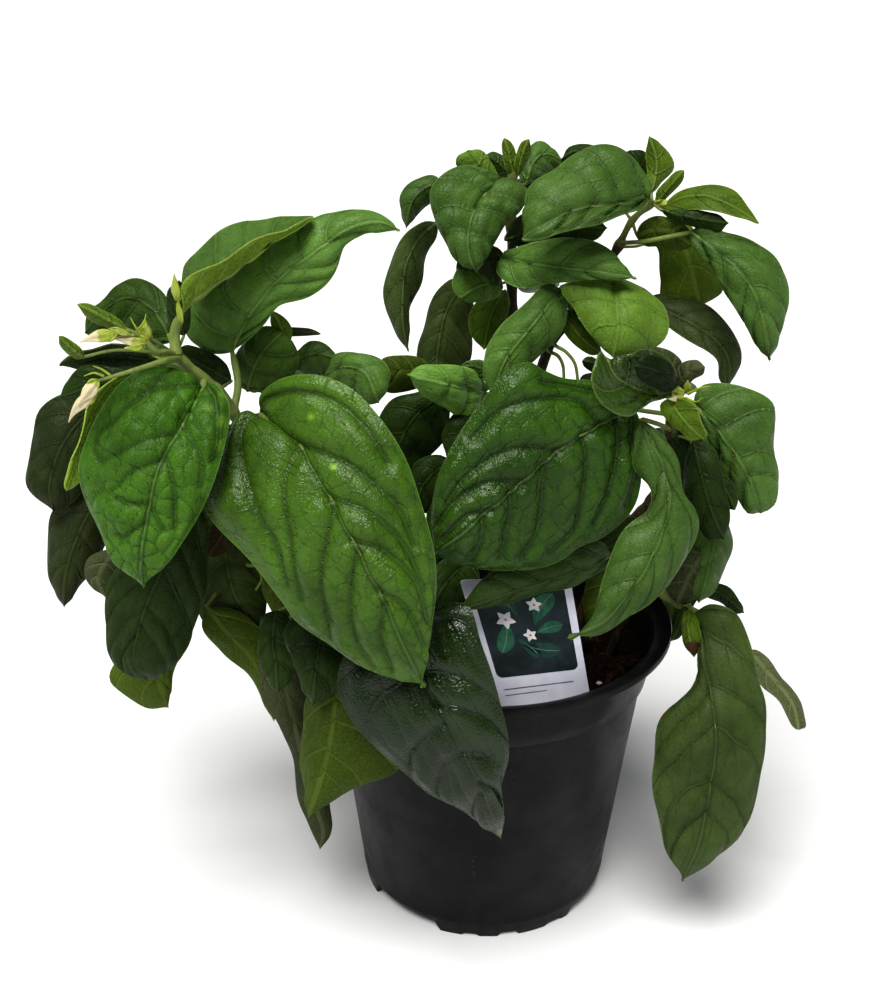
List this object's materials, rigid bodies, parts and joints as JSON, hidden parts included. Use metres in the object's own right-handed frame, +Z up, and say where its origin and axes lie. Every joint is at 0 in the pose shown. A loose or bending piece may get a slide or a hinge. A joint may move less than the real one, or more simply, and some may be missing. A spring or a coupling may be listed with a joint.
{
  "type": "potted bleeding heart vine",
  "caption": "Twining shrub with large quilted oval leaves and small cream flower buds, growing in a tapered black nursery pot with a card label; stands on the pot's foot.",
  "frame": {"origin": "centre of the pot's foot, on the surface that the pot stands on", "axes": "+Z up out of the pot, -Y towards the side that the plant label faces, +X to the right of a viewer who looks at the label"},
  "size_m": [0.3381, 0.2209, 0.3404],
  "materials": {
    "pot_black": "satin",
    "compost": "matte",
    "label_card": "satin",
    "green_stem": "satin",
    "woody_stem": "matte",
    "leaf_green": "satin",
    "leaf_young": "satin",
    "leaf_underside": "matte",
    "calyx_cream": "matte"
  },
  "bodies": {
    "root": {"buds_right": "calyx_cream", "compost": "compost", "flowers_left": "calyx_cream", "flowers_left_low": "calyx_cream", "leaf_back_left": "leaf_green", "leaf_centre_bright": "leaf_green", "leaf_centre_flat": "leaf_green", "leaf_centre_hanging": "leaf_green", "leaf_centre_left": "leaf_green", "leaf_centre_low": "leaf_green", "leaf_front_dark": "leaf_green", "leaf_front_grey": "leaf_underside", "leaf_front_small": "leaf_green", "leaf_front_yellow": "leaf_underside", "leaf_hollow_grey": "leaf_green", "leaf_left_back": "leaf_green", "leaf_left_big": "leaf_green", "leaf_left_edge": "leaf_young", "leaf_left_flat": "leaf_green", "leaf_left_folded": "leaf_young", "leaf_left_front": "leaf_green", "leaf_left_hanging": "leaf_green", "leaf_left_high": "leaf_green", "leaf_left_under": "leaf_underside", "leaf_mid_bright": "leaf_green", "leaf_mid_veined": "leaf_green", "leaf_outer_high": "leaf_green", "leaf_outer_low": "leaf_green", "leaf_rear_left": "leaf_green", "leaf_rear_right": "leaf_green", "leaf_rear_top": "leaf_green", "leaf_right_big": "leaf_green", "leaf_right_cup": "leaf_green", "leaf_right_dark": "leaf_green", "leaf_right_hanging": "leaf_green", "leaf_right_high": "leaf_green", "leaf_right_inner": "leaf_green", "leaf_right_lit": "leaf_underside", "leaf_right_low": "leaf_green", "leaf_right_narrow": "leaf_underside", "leaf_right_side": "leaf_green", "leaf_right_twist": "leaf_green", "leaf_top_bright": "leaf_green", "leaf_top_hanging": "leaf_green", "leaf_top_heart": "leaf_green", "leaf_top_right_lit": "leaf_young", "leaf_top_round": "leaf_green", "leaf_top_tip_left": "leaf_green", "leaf_top_upright": "leaf_young", "leaf_under_big": "leaf_green", "nursery_pot": "pot_black", "plant_label": "label_card", "vine_front": "woody_stem", "vine_left": "woody_stem", "vine_left_low": "woody_stem", "vine_low_right": "green_stem", "vine_middle": "woody_stem", "vine_right": "woody_stem", "vine_top": "woody_stem", "vine_top_right": "woody_stem"}
  },
  "joints": []
}
